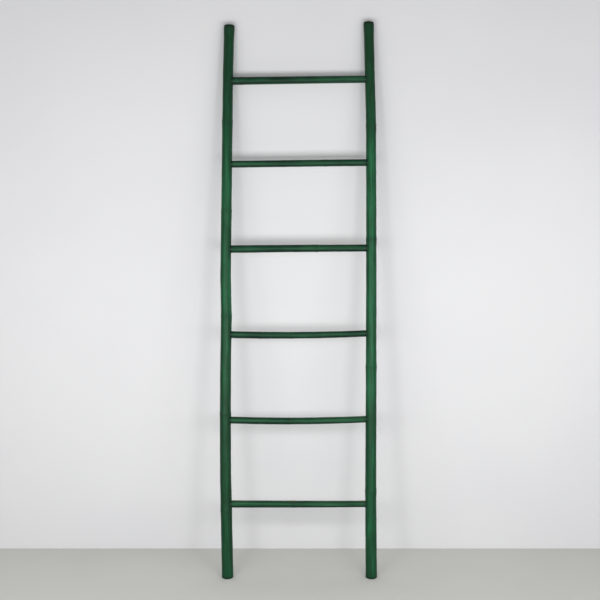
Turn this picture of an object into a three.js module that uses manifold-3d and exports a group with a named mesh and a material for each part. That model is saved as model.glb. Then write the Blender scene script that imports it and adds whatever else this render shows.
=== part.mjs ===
// A leaning bamboo ladder for quilts and blankets. Two bamboo poles, the stiles, carry six thinner culms, the
// rungs. Each rung end sits in a hole bored in its stile, is stiffened by a dowel core, and is locked by a
// bamboo pin driven in from the back. A turned plug closes each foot.
//
// Everything is made in the ladder's own plane first: X across, Z up along the poles, Y towards the wall. The
// whole ladder is then leaned back, so that its feet lie flat on the floor. Units are millimetres.
import * as THREE from "three";
import { mergeVertices } from "three/addons/utils/BufferGeometryUtils.js";
import Module from "manifold-3d";

// ---- Driving dimensions -------------------------------------------------------------------------------------

const LEAN = THREE.MathUtils.degToRad(8); // from upright, top towards the wall
const POLE_LENGTH = 1800; // floor to cut end, along the centre of the longer pole
const POLE_SPREAD = 468; // between the centres of the two poles
const POLE_DIAMETER = 34.5; // at mid height, between nodes
const POLE_WALL = 6;
const TAPER_EASE = 1.35; // a culm thins evenly at 1, and more slowly towards its top above 1
const POLE_NODE_SWELL = 0.7; // how far a pole's node stands proud of the culm
const POLE_NODE_REACH = 20; // half the length of pole that the swelling takes
const TOP_STUB = 14; // pole left above its highest node
const END_EASE = 2; // rounding of a pole's cut end

const RUNG_COUNT = 6;
const RUNG_DIAMETER = 22; // a middling rung, at mid span
const RUNG_WALL = 3.8;
const RUNG_NODE_SWELL = 0.6;
const RUNG_NODE_REACH = 7;
const FIRST_RUNG_UP = 238; // lowest rung above the floor, along the pole
const LAST_RUNG_DOWN = 187; // highest rung below the top of the pole
const SOCKET_PAST = 8; // how far a rung end goes past the centre of its pole

const DIAPHRAGM = 5; // thickness of the natural wall across a culm at each node
const TREATMENT_HOLE = 10; // bored through a pole's diaphragms before it is dried
const CORE_LENGTH = 58; // dowel in each rung end
const PIN_DIAMETER = 5;
const PIN_SHY = 0.4; // a pin is trimmed this far under the pole's surface
const PLUG_LENGTH = 26; // foot plug
const PLUG_LEAD = 2; // chamfer that leads a core or plug into its bore
const GLUE_GAP = 0.3; // all round every piece that sits in another

const POLE_SIDES = 16;
const RUNG_SIDES = 12;
const PIN_SIDES = 8;
const POLE_STEP = 190; // longest stretch of a culm drawn straight
const RUNG_STEP = 90;
const CUT_PAST = 30; // a tool that cuts an end or a hole runs this far past it

// ---- The natural shape of each culm ---------------------------------------------------------------------------

// taper: how much thicker the foot is than the cut end. nodes: shares of the pole's length. sway: how far the
// pole strays outwards, and depth: towards the wall, in millimetres at shares of its length. Every pole has one
// more node, TOP_STUB under its cut end.
const STILES = [
  {
    name: "left",
    side: -1,
    slimmer: 0,
    taper: 4.2,
    shorter: 10,
    nodes: [0.121, 0.294, 0.472, 0.661, 0.823],
    sway: [
      [0, -3.8],
      [0.121, 0.4],
      [0.19, 3],
      [0.294, 3.4],
      [0.38, 2.8],
      [0.472, 0.1],
      [0.545, 2.7],
      [0.661, 0.1],
      [0.823, -3.1],
      [0.91, -5],
      [1, -9],
    ],
    depth: [[0, 0], [0.294, -1.5], [0.661, -2.5], [1, 0]],
  },
  {
    name: "right",
    side: 1,
    slimmer: 0.5,
    taper: 5,
    shorter: 0,
    nodes: [0.154, 0.378, 0.607, 0.812],
    sway: [[0, 1.3], [0.154, -0.6], [0.26, 0.2], [0.378, 0.8], [0.607, 1.4], [0.812, 0.6], [1, -7.3]],
    depth: [[0, 0], [0.378, -3], [0.812, -1.5], [1, 0]],
  },
];

// From the lowest rung up. rise: how far the rung lies above its even place at its left end, at its bend and at
// its right end. bend and node: shares of the way from the left pole to the right. thicker: at the left and the
// right end, against RUNG_DIAMETER.
const RUNGS = [
  { rise: [0.6, -0.1, 0.8], bend: 0.5, node: 0.46, thicker: [1.6, -1.3] },
  { rise: [-2.3, -5.6, 0.9], bend: 0.35, node: 0.43, thicker: [1, -0.3] },
  { rise: [-0.5, -2.8, 3.8], bend: 0.5, node: 0.23, thicker: [1, -1] },
  { rise: [1.1, 3.4, 4.9], bend: 0.5, node: 0.62, thicker: [2.8, 0.9] },
  { rise: [0.9, 4.1, 6.8], bend: 0.5, node: 0.68, thicker: [0, 0] },
  { rise: [-4.3, -0.9, 2.1], bend: 0.5, node: 0.09, thicker: [3.1, 1.3] },
];

// ---- Finishes -------------------------------------------------------------------------------------------------

const stainedBamboo = (name, colour) =>
  new THREE.MeshStandardMaterial({ name, color: colour, roughness: 0.5, metalness: 0 });
const finishes = {
  stile: () => stainedBamboo("stained_pole", 0x2c5c42),
  rung: () => stainedBamboo("stained_rung", 0x33563f),
  pin: () => stainedBamboo("stained_pin", 0x2a4a34),
  core: () => stainedBamboo("beech_core", 0xb89a6c),
  plug: () => stainedBamboo("stained_plug", 0x39553c),
};

// ---- Small tools ----------------------------------------------------------------------------------------------

const wasm = await Module();
wasm.setup();

// A closed three.js geometry as a solid. Triangles that lost a corner on the axis of a lathe are left out.
function solidOf(geometry) {
  const bare = geometry.clone();
  bare.deleteAttribute("normal");
  bare.deleteAttribute("uv");
  const merged = mergeVertices(bare, 1e-4);
  const corners = merged.index.array;
  const kept = [];
  for (let i = 0; i < corners.length; i += 3) {
    const [a, b, c] = corners.slice(i, i + 3);
    if (a !== b && b !== c && c !== a) kept.push(a, b, c);
  }
  const vertProperties = merged.attributes.position.array;
  return new wasm.Manifold(new wasm.Mesh({ numProp: 3, vertProperties, triVerts: new Uint32Array(kept) }));
}

function meshOf(name, solid, finish) {
  const { vertProperties, triVerts } = solid.getMesh();
  const geometry = new THREE.BufferGeometry();
  geometry.setAttribute("position", new THREE.BufferAttribute(vertProperties, 3));
  geometry.setIndex(new THREE.BufferAttribute(triVerts, 1));
  geometry.computeVertexNormals();
  const mesh = new THREE.Mesh(geometry, finish());
  mesh.name = name;
  return mesh;
}

// The value at a share of the way, straight between the listed points.
function valueAt(points, share) {
  const after = points.findIndex(([at]) => at > share);
  if (after === 0) return points[0][1];
  if (after < 0) return points.at(-1)[1];
  const [from, low] = points[after - 1];
  const [to, high] = points[after];
  return low + ((high - low) * (share - from)) / (to - from);
}

// How much of a node's swelling is left at a distance from it: a flat crown with straight flanks.
const swellAt = (distance, reach) =>
  THREE.MathUtils.clamp((reach - Math.abs(distance)) / (0.8 * reach), 0, 1);

// Places along a culm where its section is drawn: the foot and the crown of each swelling, the bends that are
// clear of them, and midway between.
function stations(from, to, nodes, reach, spacing, bends = []) {
  const marks = nodes.flatMap((at) => [at - reach, at - reach / 5, at + reach / 5, at + reach]);
  const free = bends.filter((at) => nodes.every((node) => Math.abs(at - node) > reach));
  const fixed = [from, ...[...marks, ...free].filter((at) => at > from && at < to), to].sort((a, b) => a - b);
  return fixed.flatMap((at, i) => {
    if (i === 0) return [at];
    const parts = Math.max(1, Math.round((at - fixed[i - 1]) / spacing));
    return Array.from({ length: parts }, (_, k) => fixed[i - 1] + ((at - fixed[i - 1]) * (k + 1)) / parts);
  });
}

// ---- Stiles ---------------------------------------------------------------------------------------------------

const topOf = (stile) => POLE_LENGTH - stile.shorter;
const nodesOf = (stile) => [...stile.nodes.map((share) => share * topOf(stile)), topOf(stile) - TOP_STUB];

// Centre of a pole at a height along it.
function poleCentre(stile, up) {
  const share = up / topOf(stile);
  return {
    x: stile.side * (POLE_SPREAD / 2 + valueAt(stile.sway, share)),
    y: valueAt(stile.depth, share),
  };
}

function poleRadius(stile, up) {
  const below = (share) => Math.max(1 - share, 0) ** TAPER_EASE;
  const taper = stile.taper * (below(up / topOf(stile)) - below(0.5));
  const swell = Math.max(...nodesOf(stile).map((at) => swellAt(up - at, POLE_NODE_REACH)));
  return (POLE_DIAMETER - stile.slimmer + taper) / 2 + POLE_NODE_SWELL * swell;
}

const poleBore = (stile, up) => poleRadius(stile, up) - POLE_WALL;

// Turns a lathe's profile, radius against height, into a pole that follows its centre line.
function bendToPole(stile, profile) {
  const geometry = new THREE.LatheGeometry(profile, POLE_SIDES).rotateX(Math.PI / 2);
  const at = geometry.attributes.position;
  for (let i = 0; i < at.count; i++) {
    const centre = poleCentre(stile, at.getZ(i));
    at.setXYZ(i, at.getX(i) + centre.x, at.getY(i) + centre.y, at.getZ(i));
  }
  return solidOf(geometry);
}

// The culm: up the outside, over the eased end, down to the highest diaphragm, which closes it, and down the
// bore past the lower diaphragms, each pierced by the treatment hole.
function poleBlank(stile) {
  const top = topOf(stile);
  const nodes = nodesOf(stile);
  const bends = stile.sway.map(([share]) => share * top);
  const levels = stations(-CUT_PAST, top - END_EASE, nodes, POLE_NODE_REACH, POLE_STEP, bends);
  const outside = levels.map((up) => [poleRadius(stile, up), up]);
  outside.push([poleRadius(stile, top) - END_EASE / 2, top]);

  const wall = (up, radius) => [radius ?? poleBore(stile, up), up];
  const cover = nodes.at(-1) + DIAPHRAGM / 2;
  const cup = [wall(top), wall(cover), wall(cover, 0)];

  const bore = [wall(cover - DIAPHRAGM, 0), wall(cover - DIAPHRAGM)];
  const pierced = nodes.slice(0, -1);
  const between = [-CUT_PAST, ...pierced, cover - DIAPHRAGM];
  for (let i = pierced.length; i >= 0; i--) {
    bore.push(wall((between[i] + between[i + 1]) / 2));
    if (i === 0) break;
    const [above, below] = [pierced[i - 1] + DIAPHRAGM / 2, pierced[i - 1] - DIAPHRAGM / 2];
    bore.push(wall(above), wall(above, TREATMENT_HOLE / 2), wall(below, TREATMENT_HOLE / 2), wall(below));
  }
  bore.push(wall(PLUG_LENGTH), wall(0), wall(-CUT_PAST));
  return bendToPole(stile, [...bore, ...outside, ...cup].map(([r, up]) => new THREE.Vector2(r, up)));
}

// Everything under the floor, which meets the leaning ladder at an angle.
function underFloor() {
  const block = new THREE.BoxGeometry(3 * POLE_SPREAD, 8 * CUT_PAST, 8 * CUT_PAST);
  block.translate(0, 0, -4 * CUT_PAST).rotateX(LEAN);
  return solidOf(block);
}

function footPlug(stile) {
  const radius = (up) => poleBore(stile, PLUG_LENGTH) - GLUE_GAP - (up < PLUG_LENGTH ? 0 : PLUG_LEAD / 2);
  const levels = [-CUT_PAST, 0, PLUG_LENGTH - PLUG_LEAD, PLUG_LENGTH];
  const profile = [[0, levels[0]], ...levels.map((up) => [radius(up), up]), [0, PLUG_LENGTH]];
  return bendToPole(stile, profile.map(([r, up]) => new THREE.Vector2(r, up)));
}

// ---- Rungs ----------------------------------------------------------------------------------------------------

// One rung with its ends worked out from the poles that it joins.
function placeRung(index) {
  const natural = RUNGS[index % RUNGS.length];
  const pitch = (POLE_LENGTH - FIRST_RUNG_UP - LAST_RUNG_DOWN) / (RUNG_COUNT - 1);
  const level = FIRST_RUNG_UP + index * pitch;
  const ends = STILES.map((stile, i) => {
    const up = level + natural.rise[2 * i];
    return { stile, up, ...poleCentre(stile, up) };
  });
  return { ...natural, level, ends, name: "rung_" + (index + 1) };
}

const shareAcross = ({ ends: [left, right] }, x) => (x - left.x) / (right.x - left.x);
const xAcross = ({ ends: [left, right] }, share) => left.x + share * (right.x - left.x);

// Centre of a rung: the parabola through its two ends and its bend.
function rungCentre(rung, x) {
  const t = shareAcross(rung, x);
  const [left, middle, right] = rung.rise;
  const bend = rung.bend;
  const rise =
    (left * (t - bend) * (t - 1)) / bend +
    (middle * t * (1 - t)) / (bend * (1 - bend)) +
    (right * t * (t - bend)) / (1 - bend);
  const [near, far] = rung.ends;
  return { y: near.y + t * (far.y - near.y), z: rung.level + rise };
}

function rungRadius(rung, x) {
  const [left, right] = rung.thicker;
  const culm = RUNG_DIAMETER + left + shareAcross(rung, x) * (right - left);
  return culm / 2 + RUNG_NODE_SWELL * swellAt(x - xAcross(rung, rung.node), RUNG_NODE_REACH);
}

// Turns a lathe's profile, radius against place across the ladder, into a piece that follows the rung.
function bendToRung(rung, profile, sides) {
  const points = profile.map(([r, x]) => new THREE.Vector2(r, x));
  const geometry = new THREE.LatheGeometry(points, sides).rotateZ(-Math.PI / 2);
  const at = geometry.attributes.position;
  for (let i = 0; i < at.count; i++) {
    const centre = rungCentre(rung, at.getX(i));
    at.setXYZ(i, at.getX(i), at.getY(i) + centre.y, at.getZ(i) + centre.z);
  }
  return solidOf(geometry);
}

const rungEnd = ({ x, stile }) => x + stile.side * SOCKET_PAST;
const rungPlaces = (rung, from, to) =>
  stations(from, to, [xAcross(rung, rung.node)], RUNG_NODE_REACH, RUNG_STEP);

// The culm from end to end, hollow on both sides of its node's diaphragm.
function rungBlank(rung) {
  const [left, right] = rung.ends.map(rungEnd);
  const node = xAcross(rung, rung.node);
  const bore = (x) => [rungRadius(rung, x) - RUNG_WALL, x];
  const halves = [[left, node - DIAPHRAGM / 2], [node + DIAPHRAGM / 2, right]];
  const [leftBore, rightBore] = halves.map(([from, to]) => stations(from, to, [], 0, RUNG_STEP).map(bore));
  const outside = rungPlaces(rung, left, right).map((x) => [rungRadius(rung, x), x]);
  const profile = [[0, halves[0][1]], ...leftBore.reverse(), ...outside, ...rightBore.reverse(), [0, halves[1][0]]];
  return bendToRung(rung, profile, RUNG_SIDES);
}

// The drill that makes room for a rung in both poles: the rung itself, solid, with the glue gap all round.
function rungDrill(rung) {
  const [left, right] = rung.ends.map((end) => rungEnd(end) + end.stile.side * GLUE_GAP);
  const skin = rungPlaces(rung, left, right).map((x) => [rungRadius(rung, x) + GLUE_GAP, x]);
  return bendToRung(rung, [[0, left], ...skin, [0, right]], RUNG_SIDES);
}

// Dowel in one end of a rung, flush with that end. It is cut short where the rung's diaphragm is in its way.
function coreBlank(rung, end) {
  const outer = rungEnd(end);
  const room = Math.abs(outer - xAcross(rung, rung.node)) - DIAPHRAGM / 2 - GLUE_GAP;
  const inner = outer - end.stile.side * Math.min(CORE_LENGTH, room);
  const lead = inner + end.stile.side * PLUG_LEAD;
  const radius = Math.min(rungRadius(rung, outer), rungRadius(rung, inner)) - RUNG_WALL - GLUE_GAP;
  const profile = [[0, outer], [radius, outer], [radius, lead], [radius - PLUG_LEAD / 2, inner], [0, inner]];
  return bendToRung(rung, outer < inner ? profile : profile.reverse(), RUNG_SIDES);
}

// Pin through one rung end, from the back of the pole into the rung's front wall. grow widens and lengthens it
// into the drill for its own hole, which runs out of the back of the pole.
function pinBlank(rung, end, grow) {
  const back = end.y + poleRadius(end.stile, end.up) - PIN_SHY;
  const tip = end.y - rungRadius(rung, end.x) + RUNG_WALL / 2;
  const [from, to] = grow ? [tip - grow, back + CUT_PAST] : [tip, back];
  const radius = PIN_DIAMETER / 2 + grow;
  const pin = new THREE.CylinderGeometry(radius, radius, to - from, PIN_SIDES);
  return solidOf(pin.translate(end.x, (from + to) / 2, end.up));
}

// ---- Assembly -------------------------------------------------------------------------------------------------

const ladder = new THREE.Group();
const floorCut = underFloor();
const rungs = Array.from({ length: RUNG_COUNT }, (_, index) => placeRung(index));

for (const rung of rungs) {
  const group = new THREE.Group();
  let culm = rungBlank(rung);
  for (const end of rung.ends) {
    const drill = pinBlank(rung, end, GLUE_GAP);
    const label = rung.name + "_" + end.stile.name;
    culm = culm.subtract(drill);
    group.add(meshOf(label + "_core", coreBlank(rung, end).subtract(drill), finishes.core));
    group.add(meshOf(label + "_pin", pinBlank(rung, end, 0), finishes.pin));
  }
  group.add(meshOf(rung.name, culm, finishes.rung));
  ladder.add(group);
}

STILES.forEach((stile, i) => {
  let pole = poleBlank(stile).subtract(floorCut);
  for (const rung of rungs) {
    pole = pole.subtract(rungDrill(rung)).subtract(pinBlank(rung, rung.ends[i], GLUE_GAP));
  }
  ladder.add(meshOf(stile.name + "_stile", pole, finishes.stile));
  ladder.add(meshOf(stile.name + "_foot_plug", footPlug(stile).subtract(floorCut), finishes.plug));
});

// Leaned back, then set down with the middle of its footprint box at the origin.
const leaning = new THREE.Group();
ladder.rotation.x = -LEAN;
leaning.add(ladder);
leaning.updateMatrixWorld(true);
const box = new THREE.Box3().setFromObject(leaning, true);
const middle = box.getCenter(new THREE.Vector3());
leaning.position.set(-middle.x, -middle.y, -box.min.z);

export default leaning;
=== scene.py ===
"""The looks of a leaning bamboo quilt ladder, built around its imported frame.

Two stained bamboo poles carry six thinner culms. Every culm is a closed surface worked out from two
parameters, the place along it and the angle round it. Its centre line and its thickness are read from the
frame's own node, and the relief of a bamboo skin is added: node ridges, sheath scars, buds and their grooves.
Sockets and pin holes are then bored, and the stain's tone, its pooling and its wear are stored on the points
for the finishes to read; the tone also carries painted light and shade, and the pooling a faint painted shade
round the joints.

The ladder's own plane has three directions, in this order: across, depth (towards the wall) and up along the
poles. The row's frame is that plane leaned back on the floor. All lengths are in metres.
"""

from __future__ import annotations

import logging
import math
from dataclasses import dataclass, field
from enum import Enum
from typing import Any, Sequence

import bpy
import numpy as np
from bpy.types import Material, Mesh, NodeSocket, Object, World
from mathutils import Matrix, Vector
from numpy.lib.stride_tricks import sliding_window_view

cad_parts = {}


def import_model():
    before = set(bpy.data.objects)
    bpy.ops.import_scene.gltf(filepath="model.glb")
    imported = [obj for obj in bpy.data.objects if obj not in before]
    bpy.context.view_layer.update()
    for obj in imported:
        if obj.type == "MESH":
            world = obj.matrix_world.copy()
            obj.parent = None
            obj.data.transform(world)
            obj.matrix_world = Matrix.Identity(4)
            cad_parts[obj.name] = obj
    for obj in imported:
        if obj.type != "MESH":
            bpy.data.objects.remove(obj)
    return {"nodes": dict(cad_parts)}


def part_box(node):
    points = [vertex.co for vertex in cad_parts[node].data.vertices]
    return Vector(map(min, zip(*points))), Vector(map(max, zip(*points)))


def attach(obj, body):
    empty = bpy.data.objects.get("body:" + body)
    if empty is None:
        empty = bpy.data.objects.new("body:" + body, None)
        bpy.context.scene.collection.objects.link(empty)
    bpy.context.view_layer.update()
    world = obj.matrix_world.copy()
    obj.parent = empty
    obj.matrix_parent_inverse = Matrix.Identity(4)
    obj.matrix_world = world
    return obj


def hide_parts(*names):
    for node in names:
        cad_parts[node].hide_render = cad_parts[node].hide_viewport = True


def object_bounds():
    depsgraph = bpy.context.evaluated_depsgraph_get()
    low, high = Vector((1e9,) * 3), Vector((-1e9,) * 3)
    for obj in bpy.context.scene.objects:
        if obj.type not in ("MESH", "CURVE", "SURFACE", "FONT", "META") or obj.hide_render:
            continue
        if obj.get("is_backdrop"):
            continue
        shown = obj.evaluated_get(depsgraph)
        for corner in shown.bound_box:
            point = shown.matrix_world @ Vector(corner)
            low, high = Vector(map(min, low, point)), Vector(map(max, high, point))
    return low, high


LOG = logging.getLogger("bamboo_ladder")
MM = 0.001
BODY = "root"
SMOOTH_BELOW = math.radians(38)  # edges that turn by more than this are drawn sharp
LEAN = math.radians(8)
GLUE_GAP = 0.3 * MM  # round every piece that is glued in
SOCKET_DRILL = 34 * MM  # long enough to reach out of the pole
PIN_DRILL_PAST = 20 * MM  # how far a pin's drill runs on, out of the back
FAR = 1e9  # a place that no culm comes near
SIDES = {-1: "left", 1: "right"}

Colour = tuple[float, float, float, float]
WHITE: Colour = (1.0, 1.0, 1.0, 1.0)


# ---- Colours and nodes ---------------------------------------------------------------------------


def linear(code: str) -> Colour:
    """Turns an sRGB hex colour into linear light.

    Args:
        code: six hex digits, such as "2c5c42".

    Returns:
        Linear red, green and blue, with alpha 1.
    """
    parts = [int(code[k : k + 2], 16) / 255 for k in (0, 2, 4)]
    red, green, blue = (p / 12.92 if p <= 0.04045 else ((p + 0.055) / 1.055) ** 2.4 for p in parts)
    return red, green, blue, 1.0


class Tree:
    """The empty node tree of a new material or world."""

    def __init__(self, owner: Material | World) -> None:
        """Empties the owner's tree."""
        self.owner = owner
        owner.use_nodes = True
        owner.node_tree.nodes.clear()

    def add(self, kind: str, sockets: dict[Any, Any], out: Any = 0, **settings: Any) -> Any:
        """Adds a node with its settings and its links.

        Args:
            kind: the node's type, without the words ShaderNode.
            sockets: an input's name or number, against its value or the socket that feeds it.
            out: the name or number of the output that is wanted.
            **settings: the node's own properties.

        Returns:
            That output, or nothing for the tree's last node.
        """
        node = self.owner.node_tree.nodes.new("ShaderNode" + kind)
        for name, value in settings.items():
            setattr(node, name, value)
        for socket, value in sockets.items():
            if isinstance(value, NodeSocket):
                self.owner.node_tree.links.new(value, node.inputs[socket])
            else:
                node.inputs[socket].default_value = value
        return node.outputs[out] if len(node.outputs) else None

    def swung(self, start: Any, swings: Sequence[tuple[Any, float]]) -> Any:
        """A number that patterns push up and down: plus, for each, its weight times the pattern less a half.

        Args:
            start: the number.
            swings: the patterns, which run from 0 to 1, and their weights.

        Returns:
            The sum.
        """
        for pattern, weight in swings:
            swing = self.add("Math", {0: pattern, 1: weight, 2: -weight / 2}, operation="MULTIPLY_ADD")
            start = self.add("Math", {0: start, 1: swing}, operation="ADD")
        return start

    def noises(self, place: Any, kinds: Sequence[tuple[tuple[float, float, float], float]]) -> list[Any]:
        """Noise patterns, each stretched to its own sizes.

        Args:
            place: the coordinates.
            kinds: for each pattern its size in the three directions, and its detail.

        Returns:
            The patterns.
        """
        found = []
        for sizes, detail in kinds:
            stretched = self.add("Mapping", {"Vector": place, "Scale": tuple(1 / size for size in sizes)})
            found.append(self.add("TexNoise", {"Vector": stretched, "Scale": 1.0, "Detail": detail}))
        return found


def new_tree(name: str) -> Tree:
    """The empty tree of a new material."""
    return Tree(bpy.data.materials.new(name))


def shown(tree: Tree, shader: Any) -> Material:
    """Joins a shader to the material's output, and returns the material."""
    tree.add("OutputMaterial", {"Surface": shader})
    return tree.owner


# ---- Finishes ------------------------------------------------------------------------------------


@dataclass(frozen=True)
class StainedBambooSkin:
    """The waxy skin of a bamboo culm, wiped with green spirit stain and left satin.

    The stain takes unevenly. It shows the fibres as fine streaks, gathers dark at the nodes and joints, and
    rubs through to ochre where the ladder is handled. The tone it reads also carries painted shade on the
    flanks, painted light along the poles and a faint painted shade round each joint. That gives the eye a
    deep, broken green and not a painted one.
    """

    name: str
    deep: str = "0c381f"  # where much stain went in, and where the painted shade on the flanks is deepest
    body: str = "124a2c"
    light: str = "1d653f"  # where the wax kept some of it out, and where the painted highlight lies near mid-height
    pooled: str = "081f16"  # dried stain in grooves and round joints, and the faint painted shade round the joints
    ochre: str = "5c5230"  # the culm itself, under worn stain
    roughness: float = 0.47
    specular: float = 0.2
    fibre: float = 1.1 * MM  # real fibre bundles are about 0.5 mm, drawn twice as wide so that they show
    streak: float = 4.5 * MM
    cloud: float = 21 * MM
    speck: float = 1.6 * MM

    def build(self) -> Material:
        """Makes the material, from the numbers grain, tone, pool and wear on the points; tone and pool also
        carry painted light and shade.
        """
        tree = new_tree(self.name)
        add = tree.add
        grain = add("Attribute", {}, "Vector", attribute_name="grain")
        numbers = (add("Attribute", {}, "Fac", attribute_name=name) for name in ("tone", "pool", "wear"))
        tone, pool, wear = numbers
        kinds = ((self.fibre, 70, 3.0), (self.streak, 42, 2.0), (self.cloud, 4, 3.0), (self.speck, 2, 1.0))
        sizes = [((size, size, size * stretch), detail) for size, stretch, detail in kinds]
        fibre, streak, cloud, speck = tree.noises(grain, sizes)

        tone = tree.swung(tone, ((fibre, 0.8), (streak, 1.3), (cloud, 1.2)))
        stain = add("ValToRGB", {"Fac": tone}, "Color")
        ramp = stain.node.color_ramp.elements
        ramp[0].color, ramp[1].color = linear(self.deep), linear(self.light)
        ramp.new(0.5).color = linear(self.body)

        ragged = add("Math", {0: streak, 1: 0.5, 2: 0.55}, operation="MULTIPLY_ADD")
        pooled = add("Math", {0: pool, 1: ragged}, operation="MULTIPLY", use_clamp=True)
        spots = add("MapRange", {0: speck, 1: 0.66, 2: 0.78, 4: 0.45}, interpolation_type="SMOOTHSTEP")
        colour = stain
        for share in (pooled, spots):
            colour = add("Mix", {0: share, 6: colour, 7: linear(self.pooled)}, 2, data_type="RGBA")
        rubbed = tree.swung(wear, ((fibre, 0.7), (cloud, 0.5)))
        worn = add("MapRange", {0: rubbed, 1: 0.3, 2: 0.95}, interpolation_type="SMOOTHSTEP")
        colour = add("Mix", {0: worn, 6: colour, 7: linear(self.ochre)}, 2, data_type="RGBA")

        gloss = add("Math", {0: fibre, 1: 0.16, 2: self.roughness - 0.08}, operation="MULTIPLY_ADD")
        gloss = add("Math", {0: pooled, 1: -0.05, 2: gloss}, operation="MULTIPLY_ADD")
        gloss = add("Math", {0: worn, 1: 0.1, 2: gloss}, operation="MULTIPLY_ADD")
        relief = add("Math", {0: streak, 1: 1.6, 2: fibre}, operation="MULTIPLY_ADD")
        bump = add("Bump", {"Height": relief, "Strength": 0.5, "Distance": 0.12 * MM})
        surface = {"Base Color": colour, "Roughness": gloss, "Normal": bump}
        surface["Specular IOR Level"] = self.specular
        return shown(tree, add("BsdfPrincipled", surface))


@dataclass(frozen=True)
class CutBamboo:
    """Sawn or bored bamboo: dark dots of fibre bundles in a paler ground, over which stain has run.

    The dots lie end on in a cut face, and the same bundles show as lines down a bore.
    """

    name: str
    ground: str = "4d5a34"
    bundle: str = "1d2a1c"
    stain: str = "173a26"
    spacing: float = 1.3 * MM  # from one bundle of fibres to the next

    def build(self) -> Material:
        """Makes the material, from the numbers grain and pool on the points."""
        tree = new_tree(self.name)
        add = tree.add
        grain = add("Attribute", {}, "Vector", attribute_name="grain")
        pool = add("Attribute", {}, "Fac", attribute_name="pool")
        scale = (1 / self.spacing, 1 / self.spacing, 1 / (60 * self.spacing))
        place = add("Mapping", {"Vector": grain, "Scale": scale})
        cells = add("TexVoronoi", {"Vector": place, "Scale": 1.0}, "Distance")
        dots = add("MapRange", {0: cells, 1: 0.2, 2: 0.42, 3: 0.8, 4: 0.0}, interpolation_type="SMOOTHSTEP")
        smear = add("TexNoise", {"Vector": grain, "Scale": 1 / (7 * MM), "Detail": 3.0})
        soaked = add("Math", {0: pool, 1: 0.6, 2: smear}, operation="MULTIPLY_ADD")
        soaked = add("MapRange", {0: soaked, 1: 0.3, 2: 0.75, 4: 0.85}, interpolation_type="SMOOTHSTEP")
        colour = add("Mix", {0: dots, 6: linear(self.ground), 7: linear(self.bundle)}, 2, data_type="RGBA")
        colour = add("Mix", {0: soaked, 6: colour, 7: linear(self.stain)}, 2, data_type="RGBA")
        bump = add("Bump", {"Height": cells, "Strength": 0.6, "Distance": 0.15 * MM})
        gloss = add("Math", {0: smear, 1: 0.2, 2: 0.7}, operation="MULTIPLY_ADD")
        surface = {"Base Color": colour, "Roughness": gloss, "Normal": bump, "Specular IOR Level": 0.2}
        return shown(tree, add("BsdfPrincipled", surface))


@dataclass(frozen=True)
class TurnedBeech:
    """Beech turned on a lathe: short dark flecks along the grain and faint growth bands."""

    name: str
    early: str = "c19f6e"
    late: str = "a5804f"
    fleck: str = "7d5a34"
    stain: str = "1f4a30"
    stained: float = 0.0  # share of the wood's colour that the green stain hides
    band: float = 2.4 * MM
    flecks: float = 0.7 * MM

    def build(self) -> Material:
        """Makes the material on object coordinates, with the grain along the rungs."""
        tree = new_tree(self.name)
        add = tree.add
        place = add("TexCoord", {}, "Object")
        kinds = [((9 * size, size, size), detail) for size, detail in ((self.band, 3.0), (self.flecks, 1.0))]
        bands, flecks = tree.noises(place, kinds)
        colour = add("Mix", {0: bands, 6: linear(self.early), 7: linear(self.late)}, 2, data_type="RGBA")
        dark = add("MapRange", {0: flecks, 1: 0.6, 2: 0.75, 4: 0.6}, interpolation_type="SMOOTHSTEP")
        colour = add("Mix", {0: dark, 6: colour, 7: linear(self.fleck)}, 2, data_type="RGBA")
        colour = add("Mix", {0: self.stained, 6: colour, 7: linear(self.stain)}, 2, data_type="RGBA")
        bump = add("Bump", {"Height": flecks, "Strength": 0.4, "Distance": 0.1 * MM})
        gloss = add("Math", {0: bands, 1: 0.15, 2: 0.55}, operation="MULTIPLY_ADD")
        surface = {"Base Color": colour, "Roughness": gloss, "Normal": bump, "Specular IOR Level": 0.3}
        return shown(tree, add("BsdfPrincipled", surface))


@dataclass(frozen=True)
class MattPaint:
    """Flat emulsion on a wall or a sealed floor: one pale tone, faintly cloudy, with a fine nap."""

    name: str
    colour: str
    cloudy: str
    cloud: float = 0.6
    nap: float = 1.5 * MM
    fades_from: float = 1.5  # metres from the ladder, past which the backdrop thins into the room's air
    fades_to: float = 3.1
    one_sided: bool = False  # open from behind, so that the back of the ladder can be seen

    def build(self) -> Material:
        """Makes the material on object coordinates, with a smooth step of the distance across the floor."""
        tree = new_tree(self.name)
        add = tree.add
        place = add("TexCoord", {}, "Object")
        clouds = add("TexNoise", {"Vector": place, "Scale": 1 / self.cloud, "Detail": 2.0})
        clouds = add("MapRange", {0: clouds, 1: 0.35, 2: 0.7}, interpolation_type="SMOOTHSTEP")
        colour = add("Mix", {0: clouds, 6: linear(self.colour), 7: linear(self.cloudy)}, 2, data_type="RGBA")
        nap = add("TexNoise", {"Vector": place, "Scale": 1 / self.nap, "Detail": 1.0})
        bump = add("Bump", {"Height": nap, "Strength": 0.15, "Distance": 0.1 * MM})
        surface = {"Base Color": colour, "Roughness": 0.9, "Normal": bump, "Specular IOR Level": 0.1}
        paint = add("BsdfPrincipled", surface)
        flat = add("Mapping", {"Vector": place, "Scale": (1.0, 1.0, 0.0)})
        away = add("VectorMath", {0: flat}, "Value", operation="LENGTH")
        fade = {0: away, 1: self.fades_from, 2: self.fades_to}
        clear = add("MapRange", fade, interpolation_type="SMOOTHSTEP")
        if self.one_sided:
            back = add("NewGeometry", {}, "Backfacing")
            clear = add("Math", {0: clear, 1: back}, operation="MAXIMUM")
        return shown(tree, add("MixShader", {0: clear, 1: paint, 2: add("BsdfTransparent", {})}))


# ---- Surfaces ------------------------------------------------------------------------------------


def bell(distance: np.ndarray, width: float) -> np.ndarray:
    """A bell of height 1: e to the minus of distance over width, squared."""
    return np.exp(-((distance / width) ** 2))


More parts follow.
